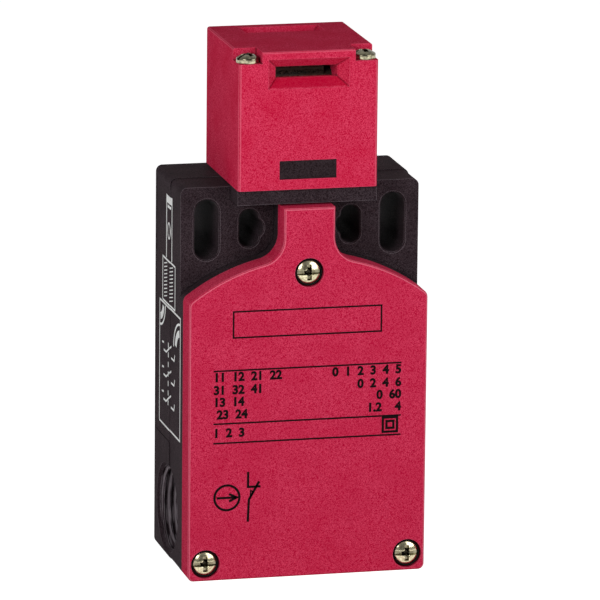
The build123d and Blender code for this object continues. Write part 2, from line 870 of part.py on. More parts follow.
def contact_carrier():
    """The sliding bar with a window for each bridge and its spring."""
    body = block(
        -carrier_half_width,
        carrier_half_width,
        head_y - carrier_half_depth,
        head_y + carrier_half_depth,
        carrier_bottom,
        carrier_top,
    )
    window_y = bridge_half_depth + carrier_clearance
    for step in poles.values():
        _, window_low, window_high = bridge_level(step)
        body -= block(
            -carrier_half_width,
            carrier_half_width,
            head_y - window_y,
            head_y + window_y,
            window_low,
            window_high,
        )
    return body


def contact_bridge(step):
    """A moving strip with a round contact near each end."""
    low, _, _ = bridge_level(step)
    strip = block(
        -bridge_half_length,
        bridge_half_length,
        head_y - bridge_half_depth,
        head_y + bridge_half_depth,
        low,
        low + strip_thickness,
    )
    closes_upwards = step < poles["upper"]
    contact_low = low + strip_thickness if closes_upwards else low - contact_height
    for side in sides:
        strip += post(contact_radius, contact_low, contact_low + contact_height, side * contact_x, head_y)
    return strip


def fixed_contact(step, side):
    """A strip that runs from under the terminal screw into the chamber, with a round contact."""
    middle = pole_z(step)
    closes_upwards = step < poles["upper"]
    if closes_upwards:
        blade_low = middle + half_chamber - strip_thickness
        plate_low = middle - terminal_half_height
        plate_high = middle + half_chamber
        contact_low = blade_low - contact_height
    else:
        blade_low = middle - half_chamber
        plate_low = middle - half_chamber
        plate_high = middle + terminal_half_height
        contact_low = blade_low + strip_thickness
    blade_x = sorted((side * blade_inner_x, side * blade_outer_x))
    plate_x = sorted((side * terminal_inner_x, side * terminal_outer_x))
    blade_rear = head_y + bridge_half_depth
    strip = block(
        blade_x[0], blade_x[1], terminal_face_y, blade_rear, blade_low, blade_low + strip_thickness
    )
    strip += block(plate_x[0], plate_x[1], terminal_face_y, block_front_y, plate_low, plate_high)
    strip += post(contact_radius, contact_low, contact_low + contact_height, side * contact_x, head_y)
    hole = terminal_screw_radius + running_clearance
    return strip - rod(hole, terminal_face_y, block_front_y, side * terminal_x, middle)


def terminal_clamps():
    """Six clamping plates under the terminal screws."""
    plates = []
    for x, z in terminal_places():
        face = Pos(x, z) * Rectangle(clamp_width, clamp_height)
        plate = slab(face, terminal_face_y - clamp_thickness, terminal_face_y)
        hole = terminal_screw_radius + running_clearance
        plates.append(plate - rod(hole, terminal_face_y - clamp_thickness, terminal_face_y, x, z))
    return Compound(plates)


def terminal_screws():
    """Six terminal screws, facing the front."""
    seat_y = terminal_face_y - clamp_thickness
    length = clamp_thickness + strip_thickness + terminal_screw_depth - screw_tip_gap
    screw = cheese_screw(
        terminal_screw_radius, length, terminal_screw_head_radius, terminal_screw_head_height
    )
    return Compound([Pos(x, seat_y, z) * Rot(90, 0, 0) * screw for x, z in terminal_places()])


def block_screws():
    """Two screws that hold the contact block to the housing's rear wall."""
    length = rear_y - block_screw_wall - block_front_y
    screw = cheese_screw(
        block_screw_radius, length, block_screw_head_radius, block_screw_head_height
    )
    return Compound([Pos(x, block_front_y, z) * Rot(90, 0, 0) * screw for x, z in block_screw_places()])


def coil_spring(radius, wire, turns, low, high):
    """A compression spring of square wire between two levels on the plunger's line."""
    rise = high - low - wire
    path = Helix(pitch=rise / turns, height=rise, radius=radius)
    section = Plane(origin=path @ 0, x_dir=(1, 0, 0), z_dir=path % 0) * Rectangle(wire, wire)
    coil = sweep(section, path=path, is_frenet=True)
    return Pos(0, head_y, low + wire / 2) * coil


def bridge_spring(step):
    """The spring that presses a bridge against its end of the window."""
    low, window_low, window_high = bridge_level(step)
    closes_upwards = step < poles["upper"]
    bottom = window_low if closes_upwards else low + strip_thickness
    top = low if closes_upwards else window_high
    return coil_spring(
        bridge_spring_radius,
        bridge_spring_wire,
        bridge_spring_turns,
        bottom + spring_end_gap,
        top - spring_end_gap,
    )


def return_spring():
    """The spring that lifts the carrier."""
    return coil_spring(
        return_spring_radius,
        return_spring_wire,
        return_spring_turns,
        spring_seat + spring_end_gap,
        carrier_bottom - spring_end_gap,
    )


moulding = whole_housing()
ear_region = block(-width, width, -depth, depth, ear_split_z, housing_height)

pieces = {
    "housing": moulding - ear_region,
    "housing_ears": moulding & ear_region,
    "cover": cover(),
    "cover_gasket": cover_gasket(),
    "cover_screws": cover_screws(),
    "cover_screw_retainers": cover_screw_retainers(),
    "head_housing": head_housing(),
    "slot_plug": slot_plug(),
    "head_screws": head_screws(),
    "head_base_plate": head_base_plate(),
    "head_gasket": head_gasket(),
    "cam_wheel": cam_wheel(),
    "cam_axle": cam_axle(),
    "plunger": plunger(),
    "plunger_seal": plunger_seal(),
    "contact_block_base": contact_block_base(),
    "contact_carrier": contact_carrier(),
    "terminal_clamps": terminal_clamps(),
    "terminal_screws": terminal_screws(),
    "block_screws": block_screws(),
    "return_spring": return_spring(),
}
for place, step in poles.items():
    pieces[f"contact_bridge_{place}"] = contact_bridge(step)
    pieces[f"bridge_spring_{place}"] = bridge_spring(step)
    pieces[f"fixed_contact_left_{place}"] = fixed_contact(step, -1)
    pieces[f"fixed_contact_right_{place}"] = fixed_contact(step, 1)

for name, piece in pieces.items():
    export_step(piece, f"parts/{name}.step")
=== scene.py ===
import math
import bmesh
import bpy
import numpy as np
from mathutils import Euler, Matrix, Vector


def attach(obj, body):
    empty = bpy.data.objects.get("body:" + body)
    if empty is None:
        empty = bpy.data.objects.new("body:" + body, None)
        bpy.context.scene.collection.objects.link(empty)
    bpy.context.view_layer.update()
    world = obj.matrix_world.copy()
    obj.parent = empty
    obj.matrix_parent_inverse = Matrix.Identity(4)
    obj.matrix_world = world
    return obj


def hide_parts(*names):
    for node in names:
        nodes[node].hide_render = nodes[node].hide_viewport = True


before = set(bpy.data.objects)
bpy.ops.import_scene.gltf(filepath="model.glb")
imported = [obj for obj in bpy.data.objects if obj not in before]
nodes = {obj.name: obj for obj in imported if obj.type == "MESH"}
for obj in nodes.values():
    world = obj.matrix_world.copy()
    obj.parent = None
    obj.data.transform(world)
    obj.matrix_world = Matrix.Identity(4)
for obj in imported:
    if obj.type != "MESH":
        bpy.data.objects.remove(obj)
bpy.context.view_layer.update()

# Housing with its two fixing ears, the shell that everything else is screwed to.
# Glass-filled polyamide, moulded in a spark-eroded mould: black, with a fine dull grain whose
# raised points catch a little light, and a highlight painted pale along its edges.
mm = 0.001
patch_grains = 50
patch_share = 0.35
# Edge radius and share of the painted edge highlight, then reach and depth of the painted crease
# shade.
edge_radius = 0.16 * mm
edge_highlight_share = 0.7
crease_reach = 0.4 * mm
crease_shade_tone = 0.4
joint_reach = 0.4 * mm
mouth_reach = 1.1 * mm
polish_share = 0.65
dullness_range = 0.08


def linear(code):
    """Linear RGBA of an sRGB hex colour: each channel through the standard sRGB curve."""
    channels = [int(code[i:i + 2], 16) / 255 for i in (1, 3, 5)]
    return [c / 12.92 if c <= 0.04045 else ((c + 0.055) / 1.055) ** 2.4 for c in channels] + [1.0]


def add(tree, kind, inputs=None, **settings):
    """One node with its settings; an input is linked if it is a socket, else set as a value."""
    node = tree.nodes.new(kind)
    for name, value in settings.items():
        setattr(node, name, value)
    for name, value in (inputs or {}).items():
        if isinstance(value, bpy.types.NodeSocket):
            tree.links.new(value, node.inputs[name])
        else:
            node.inputs[name].default_value = value
    return node


def mapped(tree, value, start, end, low=0.0, high=1.0):
    """A number that goes from low to high while the value goes from start to end."""
    return add(tree, "ShaderNodeMapRange", {
        "Value": value, "From Min": start, "From Max": end, "To Min": low, "To Max": high,
    }).outputs["Result"]


def calculated(tree, operation, *values, **settings):
    """The result of one Math node on sockets or numbers."""
    node = add(tree, "ShaderNodeMath", dict(enumerate(values)), operation=operation, **settings)
    return node.outputs[0]


def mixed(tree, share, first, second, **settings):
    """The first colour with a share of the second; each is a socket or an sRGB hex colour."""
    first, second = [linear(c) if isinstance(c, str) else c for c in (first, second)]
    inputs = {"Fac": share, "Color1": first, "Color2": second}
    return add(tree, "ShaderNodeMixRGB", inputs, **settings).outputs["Color"]


def noise(tree, place, width, detail=1.0):
    """Soft noise from 0 to 1, with spots of about the width."""
    inputs = {"Vector": place, "Scale": 1 / width, "Detail": detail}
    return add(tree, "ShaderNodeTexNoise", inputs).outputs["Fac"]


def new_material(name):
    """A material with only a shader and its output, and Object coordinates in metres."""
    material = bpy.data.materials.new(name)
    material.use_nodes = True
    tree = material.node_tree
    tree.nodes.clear()
    place = add(tree, "ShaderNodeTexCoord").outputs["Object"]
    shader = add(tree, "ShaderNodeBsdfPrincipled")
    add(tree, "ShaderNodeOutputMaterial", {"Surface": shader.outputs["BSDF"]})
    return material, tree, shader, place


def surface(tree, shader, colour, roughness, relief, strength, depth):
    """Links colour and roughness to the shader, and a bump as high as the relief says."""
    bump = add(tree, "ShaderNodeBump", {"Height": relief, "Strength": strength, "Distance": depth})
    tree.links.new(colour, shader.inputs["Base Color"])
    tree.links.new(roughness, shader.inputs["Roughness"])
    tree.links.new(bump.outputs["Normal"], shader.inputs["Normal"])


def edge_highlight_and_polish(tree, place, walls, joint, mouth):
    """How far a point lies on a rounded edge with a painted highlight, and how far on a slope that
    the tongue polishes.

    The rounded normal of a flat face lies along one axis, and a rounded edge is where its
    largest part is between 0.8 and 0.99. Curved walls that run from front to back get only the
    share walls of that, and near a level joint between two CAD nodes of one moulding there is no
    level edge. The polished slopes are below and above a slot, as far back as its mouth goes,
    the lower one polished most; mouth is the middle of their depth.
    """
    rounded = add(tree, "ShaderNodeBevel", {"Radius": edge_radius}, samples=6).outputs["Normal"]
    size = add(tree, "ShaderNodeVectorMath", {0: rounded}, operation="ABSOLUTE").outputs["Vector"]
    part = add(tree, "ShaderNodeSeparateXYZ", {"Vector": size}).outputs
    upwards = add(tree, "ShaderNodeSeparateXYZ", {"Vector": rounded}).outputs["Z"]
    position = add(tree, "ShaderNodeSeparateXYZ", {"Vector": place}).outputs
    largest = calculated(tree, "MAXIMUM", part["X"], part["Z"])
    largest = calculated(tree, "MAXIMUM", largest, part["Y"])
    not_diagonal = mapped(tree, largest, 0.79, 0.86)

    # Painted highlight: the pale edge colour goes where the rounded normal leaves the face's axis.
    leaves_face = mapped(tree, largest, 0.99, 0.94, high=edge_highlight_share)
    edge_highlight = calculated(tree, "MULTIPLY", leaves_face, not_diagonal)
    edge_highlight = calculated(tree, "MULTIPLY", edge_highlight, mapped(tree, part["Y"], 0.1, 0.25, low=walls))
    at_joint = calculated(tree, "COMPARE", position["Z"], joint, joint_reach)
    at_joint = calculated(tree, "MULTIPLY", at_joint, mapped(tree, part["Z"], 0.02, 0.08))
    edge_highlight = calculated(tree, "SUBTRACT", edge_highlight, at_joint, use_clamp=True)

    in_mouth = calculated(tree, "COMPARE", position["Y"], mouth, mouth_reach)
    polished = calculated(tree, "SUBTRACT", in_mouth, not_diagonal, use_clamp=True)
    above_or_below = mapped(tree, part["Z"], 0.3, 0.6, high=polish_share)
    polished = calculated(tree, "MULTIPLY", polished, above_or_below)
    polished = calculated(tree, "MULTIPLY", polished, mapped(tree, upwards, -0.1, 0.1, low=0.4))
    return edge_highlight, polished


def moulded_plastic(
    name, base, speck, patch, edge, grain, roughness, gloss, relief, walls=1.0, joint=0.0,
    mouth=1.0,
):
    """Moulded plastic: a base colour with sharp specks, broad patches, a painted highlight on its
    edges and painted shade in each crease.

    Each speck is one cell of the grain's width, and the bump is noise of half that width.
    Polished slopes have few specks. The painted shade lies where surfaces of one piece shade each
    other.
    """
    material, tree, shader, place = new_material(name)
    cells = add(tree, "ShaderNodeTexVoronoi", {"Vector": place, "Scale": 1 / grain})
    specks = mapped(tree, cells.outputs["Color"], 0.2, 0.8)
    clouds = noise(tree, place, patch_grains * grain)
    patches = mapped(tree, clouds, 0.42, 0.68, high=patch_share)
    edge_highlight, polished = edge_highlight_and_polish(tree, place, walls, joint, mouth)
    # Painted shade: each crease is darkened by how closed in it is by its own piece.
    openness = add(
        tree, "ShaderNodeAmbientOcclusion", {"Distance": crease_reach}, samples=6, only_local=True,
    )
    crease_shade = mapped(tree, openness.outputs["AO"], 0.7, 0.95, low=crease_shade_tone)
    colour = mixed(tree, specks, base, speck)
    colour = mixed(tree, patches, colour, patch)
    colour = mixed(tree, polished, colour, base)
    # Painted highlight: the pale edge colour on rounded edges.
    colour = mixed(tree, edge_highlight, colour, edge)
    colour = mixed(tree, 1.0, colour, crease_shade, blend_type="MULTIPLY")
    dull = mapped(tree, specks, 0.0, 1.0, roughness - dullness_range, roughness + dullness_range)
    surface(tree, shader, colour, dull, noise(tree, place, grain / 2), relief, 0.1 * grain)
    shader.inputs["Specular IOR Level"].default_value = gloss
    return material


def dress(material, *names):
    """Puts the material on CAD nodes, whose meshes stay as they are."""
    for name in names:
        nodes[name].data.materials.clear()
        nodes[name].data.materials.append(material)


# The fourth colour of each plastic is the pale colour of its painted edge highlight.
black_polyamide = moulded_plastic(
    "black glass-filled polyamide", "#1b1115", "#44393e", "#1d1418", "#897f85",
    0.15 * mm, 0.65, 0.01, 0.6, walls=0.0, joint=62.5 * mm,
)
dress(black_polyamide, "housing", "housing_ears")

# Threads in the two cable entries, moulded with the housing and drawn as closed sleeves.
# The same black polyamide, with a highlight painted pale along the crests of the 1.4 mm thread.
entry_centre = (3.4 * mm, 11.1 * mm)
entry_start = 17.0 * mm
entry_end = 25.4 * mm
thread_root = 9.28 * mm
thread_depth = 0.72 * mm
thread_pitch = 1.41 * mm
thread_fade = 0.8 * mm
sleeve_wall = 0.07 * mm


def ring_shell(rings, loop=False):
    """Points and faces of a closed shell from rings, an array of ring, point and coordinate.

    Quads join each ring to the next. A loop joins the last ring to the first, and otherwise a
    fan from a middle point closes each end. It faces outwards where the way round a ring,
    crossed with the way from ring to ring, points out.
    """
    count, around, _ = rings.shape
    index = np.arange(count * around).reshape(count, around)
    lower = index if loop else index[:-1]
    upper = np.roll(index, -1, 0) if loop else index[1:]
    quads = np.stack([lower, np.roll(lower, -1, 1), np.roll(upper, -1, 1), upper], -1)
    faces = quads.reshape(-1, 4).tolist()
    points = rings.reshape(-1, 3)
    if not loop:
        points = np.vstack([points, rings[0].mean(0), rings[-1].mean(0)])
        first = np.full(around, count * around)
        faces += np.stack([first, np.roll(index[0], -1), index[0]], -1).tolist()
        faces += np.stack([first + 1, index[-1], np.roll(index[-1], -1)], -1).tolist()
    return points, faces


def new_piece(name, shells, material, body="switch_body", crease=35):
    """One object made of closed shells, shaded smooth up to the crease angle in degrees."""
    starts = np.cumsum([0] + [len(points) for points, _ in shells])
    faces = []
    for start, (_, part) in zip(starts.tolist(), shells):
        faces += [[point + start for point in face] for face in part]
    mesh = bpy.data.meshes.new(name)
    mesh.from_pydata(np.vstack([points for points, _ in shells]).tolist(), [], faces)
    mesh.shade_smooth()
    mesh.set_sharp_from_angle(angle=math.radians(crease))
    mesh.materials.append(material)
    obj = bpy.data.objects.new(name, mesh)
    bpy.context.scene.collection.objects.link(obj)
    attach(obj, body)
    return obj


def point_values(piece, name, values):
    """Stores one number per point, which a material reads as an attribute."""
    attribute = piece.data.attributes.new(name, "FLOAT", "POINT")
    attribute.data.foreach_set("value", np.asarray(values, np.float32))


def tint_by(material, attribute, colour):
    """Mixes a colour into a material as far as a point attribute of the piece says."""
    tree = material.node_tree
    shader = next(node for node in tree.nodes if node.type == "BSDF_PRINCIPLED")
    own = shader.inputs["Base Color"].links[0].from_socket
    share = add(tree, "ShaderNodeAttribute", attribute_name=attribute).outputs["Fac"]
    tree.links.new(mixed(tree, share, own, colour), shader.inputs["Base Color"])


def entry_thread(side):
    """A threaded sleeve, and how far each of its points lies on an edge of the crest, where a
    highlight is painted.

    It goes out along its plain outer wall and back along the thread. The thread's profile is a
    cosine cut off at the crest and at the root, and its edges are where that cosine reaches one.
    """
    turns = np.linspace(0, 2 * np.pi, 96, endpoint=False)
    along = np.linspace(entry_start, entry_end, 100)[:, None]
    phase = (along - entry_start) / thread_pitch - turns / (2 * np.pi)
    ends = np.clip(np.minimum(along - entry_start, entry_end - along) / thread_fade, 0, 1)
    profile = 0.35 + 0.9 * np.cos(2 * np.pi * phase)
    thread = thread_root - thread_depth * ends * np.clip(profile, 0, 1)
    wall = np.full_like(thread, thread_root + sleeve_wall)
    radius = np.vstack([wall, thread[::-1]])
    x = np.vstack([along, along[::-1]]) + np.zeros_like(radius)
    y = entry_centre[0] + side * radius * np.cos(turns)
    z = entry_centre[1] + radius * np.sin(turns)
    # Painted highlight: its share along the crest's edges.
    edge = ends * np.clip(1 - np.abs(profile - 1) / 0.15, 0, 1)
    edge = np.vstack([np.zeros_like(wall), edge[::-1]])
    return ring_shell(np.stack([side * x, y, z], -1), loop=True), edge.ravel()


# The black polyamide with the painted crest highlight mixed in.
thread_polyamide = black_polyamide.copy()
thread_polyamide.name = "black polyamide with painted highlights on thread crests"
tint_by(thread_polyamide, "crest_highlight", "#9a9298")
sleeves, edges = zip(*[entry_thread(side) for side in (1, -1)])
threads = new_piece("entry_threads", sleeves, thread_polyamide)
point_values(threads, "crest_highlight", np.concatenate(edges))

# Contact block with its carrier, screwed to the housing's rear wall.
# The block is a dark grey thermoset, pressed hard and slightly shiny; the carrier is natural
# polyamide, so it is ivory.
block_resin = moulded_plastic(
    "dark grey pressed resin", "#2c2c2f", "#38383b", "#242427", "#4e4e52",
    0.5 * mm, 0.4, 0.4, 0.3,
)
dress(block_resin, "contact_block_base")
natural_polyamide = moulded_plastic(
    "natural polyamide", "#d9d2bd", "#e2dccb", "#cec6ae", "#efeade",
    0.6 * mm, 0.4, 0.4, 0.2,
)
dress(natural_polyamide, "contact_carrier")

# Contact strips and bridges, springs, clamping plates and the screws inside.
# Rolled brass is warm and finely streaked, spring wire is drawn and grey, and zinc plating is
# pale with faint yellow and blue clouds.


def metal(name, base, cloud, streak, stretch, roughness, cloud_width):
    """Bright metal: two tones in soft clouds, and fine streaks in the roughness and relief.

    Stretch turns the streak noise into lines: it is divided by that much along each axis.
    """
    material, tree, shader, place = new_material(name)
    drawn = add(tree, "ShaderNodeMapping", {"Vector": place, "Scale": [1 / s for s in stretch]})
    lines = noise(tree, drawn.outputs["Vector"], streak, 2.0)
    clouds = mapped(tree, noise(tree, place, cloud_width, 2.0), 0.35, 0.65)
    dull = mapped(tree, lines, 0.0, 1.0, roughness - 0.08, roughness + 0.1)
    surface(tree, shader, mixed(tree, clouds, base, cloud), dull, lines, 0.2, 0.1 * streak)
    shader.inputs["Metallic"].default_value = 1.0
    return material


brass = metal("rolled brass", "#c9a357", "#b98f45", 0.1 * mm, (12, 1, 1), 0.32, 3 * mm)
poles = ("lower", "middle", "upper")
dress(brass, *[f"contact_bridge_{p}" for p in poles])
dress(brass, *[f"fixed_contact_{side}_{p}" for side in ("left", "right") for p in poles])
wire = metal("drawn spring steel", "#9d9fa1", "#8b8d8f", 0.05 * mm, (1, 1, 1), 0.3, 2 * mm)
dress(wire, "return_spring", *[f"bridge_spring_{p}" for p in poles])
zinc = metal("zinc-plated steel", "#cfcaa6", "#b9b48c", 0.15 * mm, (1, 1, 1), 0.3, 1.2 * mm)
dress(zinc, "terminal_clamps", "terminal_screws", "block_screws")

# Plunger between the cam and the contact carrier, with the seal that wipes it.
# The plunger is turned from white acetal, smooth and waxy; seals are moulded nitrile rubber,
# dull and nearly black.
acetal = moulded_plastic(
    "white acetal", "#dedbd0", "#e6e4da", "#d5d1c4", "#f0eee8",
    0.8 * mm, 0.3, 0.45, 0.1,
)
dress(acetal, "plunger")
nitrile = moulded_plastic(
    "nitrile rubber", "#0f0e0e", "#191817", "#0b0a0a", "#1f1e1d",
    0.3 * mm, 0.75, 0.04, 0.3,
)
dress(nitrile, "plunger_seal", "head_gasket", "cover_gasket", "cover_screw_retainers")

# Head mechanism: base plate, cam wheel and axle, seen only through the tongue slots.
# The plate is the housing's polyamide; the wheel is brown-black acetal, rubbed by the tongue;
# the axle is a ground steel pin.
dress(black_polyamide, "head_base_plate")
cam_acetal = moulded_plastic(
    "brown-black acetal", "#21160f", "#7d695c", "#241a16", "#7c685e",
    0.24 * mm, 0.4, 0.3, 0.2,
)
dress(cam_acetal, "cam_wheel")
pin_steel = metal("ground steel", "#b4b5b6", "#a5a6a8", 0.05 * mm, (20, 1, 1), 0.22, 2 * mm)
dress(pin_steel, "cam_axle")

# Head, the red block with the two tongue slots, and the black insert in its front.
# Polyamide through-coloured signal red, with a grain of light red points on a deeper ground,
# drawn at 0.15 mm because a finer one doesn't show. The insert is a smoother black.
red_polyamide = moulded_plastic(
    "red polyamide", "#b6002f", "#da4363", "#be0734", "#dd647b",
    0.15 * mm, 0.65, 0.005, 0.6, mouth=-12.75 * mm,
)
dress(red_polyamide, "head_housing")
black_insert = moulded_plastic(
    "smooth black polyamide", "#180e11", "#3a2f33", "#161012", "#40363a",
    0.15 * mm, 0.5, 0.02, 0.3,
)
dress(black_insert, "slot_plug")

# Head screws in the front corner notches, and the cover's three captive screws.
# Steel pan heads with a slot that runs right across and a cross over its middle, cold headed and
# thread-rolled; the zinc is passivated pale yellow. Shade is painted dark into each slot, cross
# and cone, and on the head's two the crown is painted dark as well, a painted dark reflection.
slot_half_width = 0.42 * mm
slot_draft = 0.07 * mm
slot_below_rim = 0.3 * mm
cone_radii = (0.25 * mm, 1.05 * mm)
cone_depth = 0.55 * mm
cross_reach = (0.58, 0.64)
tip_chamfer = 0.3 * mm


def dome_height(radius, head, height, dome):
    """Height of a spherical crown over its seat: the ball through the rim and the crown."""
    ball = (head ** 2 + dome ** 2) / (2 * dome)
    return height - ball + np.sqrt(ball ** 2 - radius ** 2)


def ramp(value, low, high):
    """Zero below low, one above high, and smooth between."""
    t = np.clip((value - low) / (high - low), 0, 1)
    return t * t * (3 - 2 * t)


def screw_head(head, height, turn, second_tone):
    """A pan head on its seat at the origin: bottom, side and crown as rings.

    The crown is a sphere. A slot cuts it down to below its rim, a cross widens the slot over the
    middle, and a cone deepens the middle. Second_tone is the share of the crown painted dark, a
    painted dark reflection; painted shade darkens the slot, the cross and the cone.
    """
    dome = 0.45 * height
    rim = height - dome
    angles = np.linspace(0, 2 * np.pi, 192, endpoint=False)
    side_radius = np.array([0.5, 0.96, 1.0, 1.0, 1.0]) * head
    side_height = np.array([0.0, 0.0, 0.04, 0.5, 0.85]) * rim
    crown_radius = head * np.concatenate([[0.995, 0.985, 0.97], np.linspace(0.95, 0.02, 58)])
    crown = dome_height(crown_radius, head, height, dome)
    crown[:2] = [0.93 * rim, 0.985 * rim]
    radius = np.concatenate([side_radius, crown_radius])[:, None]
    level = np.concatenate([side_height, crown])[:, None] + 0 * angles
    x = radius * np.cos(angles)
    y = radius * np.sin(angles)
    along = np.abs(x * math.cos(turn) + y * math.sin(turn))
    across = np.abs(y * math.cos(turn) - x * math.sin(turn))
    low, high = slot_half_width - slot_draft, slot_half_width + slot_draft
    slot = 1 - ramp(across, low, high)
    arm = 1 - ramp(across, cross_reach[0] * head, cross_reach[1] * head)
    cut = np.maximum(slot, arm * (1 - ramp(along, low, high)))
    middle = 1 - ramp(np.hypot(x, y), *cone_radii)
    depth = cut * np.maximum(level - (rim - slot_below_rim), 0) + cone_depth * middle
    top = np.arange(len(radius))[:, None] >= len(side_radius) - 1
    level = np.where(top, level - depth, level)
    # Painted shade in the slot, cross and cone, and a painted dark reflection over the crown.
    dark = np.where(top, np.clip(second_tone + 0.6 * cut + middle, 0, 1), 0)
    points, faces = ring_shell(np.stack([x, y, level], -1))
    return points, faces, np.concatenate([dark.ravel(), [0.0, 1.0]])


def screw_shank(radius, length, thread, pitch):
    """The shank below the seat: plain, then a rolled thread with a chamfered tip, as rings."""
    angles = np.linspace(0, 2 * np.pi, 40, endpoint=False)
    rows = int(thread / pitch * 8)
    start = -length + thread
    rolled = np.linspace(-length + tip_chamfer, start, rows)
    z = np.concatenate([[-length], rolled, [0.05 * mm]])[:, None]
    fade = np.clip((start - z) / pitch, 0, 1) * np.clip((z + length) / pitch, 0, 1)
    valley = 0.5 - 0.5 * np.cos(2 * np.pi * (z / pitch - angles / (2 * np.pi)))
    r = radius - 0.6 * pitch * fade * valley - np.where(z <= -length, tip_chamfer, 0)
    rings = np.stack([r * np.cos(angles), r * np.sin(angles), z + 0 * r], -1)
    points, faces = ring_shell(rings)
    return points, faces, np.zeros(len(points))


def screw_set(name, places, facing, parts, node, material):
    """Copies of one screw, each at a place and turned in radians, as one piece.

    Its painted_darkness attribute says how dark the metal is painted at each point: painted shade
    in the slot, cross and cone, and a painted dark reflection on a crown.
    """
    shells = []
    painted_darkness = []
    for place, turn in places:
        top = screw_head(parts["head"], parts["height"], turn, parts["second_tone"])
        shank = screw_shank(parts["radius"], parts["length"], parts["thread"], parts["pitch"])
        for points, faces, dark in (top, shank):
            shells.append((points @ np.array(facing, float).T + np.array(place), faces))
            painted_darkness.append(dark)
    piece = new_piece(name, shells, material, crease=28)
    point_values(piece, "painted_darkness", np.concatenate(painted_darkness))
    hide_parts(node)


# The head's screws: the zinc with darker clouds, which paint a dark reflection.
zinc_with_painted_dark_crown = metal(
    "zinc with painted dark crowns", "#d6cfae", "#8d8871", 0.12 * mm, (1, 1, 1), 0.18, 0.6 * mm,
)
# Painted shade in the slot, cross and cone, and a painted dark reflection on the crown.
tint_by(zinc_with_painted_dark_crown, "painted_darkness", "#1c1a14")
head_screw = {"head": 2.45 * mm, "height": 1.9 * mm, "radius": 1.25 * mm, "length": 29.9 * mm,
              "thread": 6.0 * mm, "pitch": 0.45 * mm, "second_tone": 0.75}
head_screw_places = [(-12.5, 0.35), (12.5, 0.1)]
screw_set("head_screw_pair", [
    ((x * mm, -11.325 * mm, 110.5 * mm), turn) for x, turn in head_screw_places
], np.eye(3), head_screw, "head_screws", zinc_with_painted_dark_crown)

passivated = metal(
    "yellow-passivated zinc", "#d6cfae", "#a8a182", 0.12 * mm, (1, 1, 1), 0.18, 0.6 * mm,
)
# Painted shade in the slot, cross and cone.
tint_by(passivated, "painted_darkness", "#2e2b22")
cover_screw = {"head": 2.7 * mm, "height": 2.0 * mm, "radius": 1.5 * mm, "length": 9.1 * mm,
               "thread": 5.5 * mm, "pitch": 0.5 * mm, "second_tone": 0.0}
cover_screw_places = [(0.0, 66.0, 0.03), (-22.0, 3.7, 0.02), (22.0, 3.7, 0.0)]
screw_set("cover_screw_set", [
    ((x * mm, -14.5 * mm, z * mm), turn) for x, z, turn in cover_screw_places
], ((1, 0, 0), (0, 0, -1), (0, 1, 0)), cover_screw, "cover_screws", passivated)

# Sealing rings round the cover screws' heads, a black line round each head that also stands for
# the shade there: partly a real seal, partly painted shade. Moulded nitrile rubber, slipped over
# the head with a lip that hugs its edge.


def seal_and_shade_ring(x, z):
    """A ring turned about the screw, a seal that also draws the shade round the head: a sleeve
    round the head's side, and a lip over its edge.
    """
    turns = np.linspace(0, 2 * np.pi, 96, endpoint=False)
    radius = np.array([2.72, 2.84, 2.84, 2.8, 2.72, 2.62, 2.52, 2.72]) * mm
    level = np.array([-14.52, -14.52, -15.74, -15.84, -15.9, -15.88, -15.79, -15.68]) * mm
    section = np.stack([radius[:, None] * np.cos(turns), level[:, None] + 0 * turns,
                        radius[:, None] * np.sin(turns)], -1)
    return ring_shell(section + (x, 0, z), loop=True)


new_piece(
    "cover_screw_seal_shade_rings",
    [seal_and_shade_ring(x * mm, z * mm) for x, z, _ in cover_screw_places],
    nitrile,
)

# Cover, the red spade-shaped lid over the contact block, with its neck up to the head.
# The same kind of red polyamide as the head, in a slightly deeper shade.
cover_polyamide = moulded_plastic(
    "deep red polyamide", "#ae0030", "#d64262", "#ba1c40", "#e07c90",
    0.15 * mm, 0.65, 0.005, 0.6, walls=0.1,
)
dress(cover_polyamide, "cover")

# Marks printed on the cover in black: an empty name field, ruled rows of plain numbers, and
# the usual signs for double insulation, forced opening and a break contact.
# Pad-printing ink, a few hundredths of a millimetre thick and nearly dull.
cover_y = -16.4 * mm
ink_thickness = 0.03 * mm
bolder = 0.045
letter_height = 2.6 * mm
rows_left, rows_right = -20.5, 20.2


def stroke(points, width, closed=False):
    """A flat ink line of one width along points in a plane, mitred at its corners.

    Each point gives four corners. The sides are moved along the mean of the two neighbouring
    normals, divided by its cosine with either of them, so the line keeps its width.
    """
    path = np.asarray(points, float)
    step = np.diff(np.vstack([path, path[:1]]) if closed else path, axis=0)
    step /= np.linalg.norm(step, axis=1)[:, None]
    ahead = step if closed else np.vstack([step, step[-1:]])
    behind = np.roll(step, 1, 0) if closed else np.vstack([step[:1], step])
    normal = np.stack([-(ahead + behind)[:, 1], (ahead + behind)[:, 0]], -1)
    normal /= np.linalg.norm(normal, axis=1)[:, None]
    cosine = np.clip(normal[:, 1] * ahead[:, 0] - normal[:, 0] * ahead[:, 1], 0.4, 1)
    shift = normal * (width / 2 / cosine)[:, None]
    left, right = path + shift, path - shift
    corners = [np.column_stack([edge, np.full(len(path), level)]) for edge, level in (
        (left, ink_thickness), (right, ink_thickness), (right, 0.0), (left, 0.0))]
    return ring_shell(np.stack(corners, 1), loop=closed)


def arc(centre, radius, start, end, count):
    """Points on a circle between two angles in degrees."""
    angles = np.radians(np.linspace(start, end, count))
    return np.array(centre) + radius * np.stack([np.cos(angles), np.sin(angles)], -1)


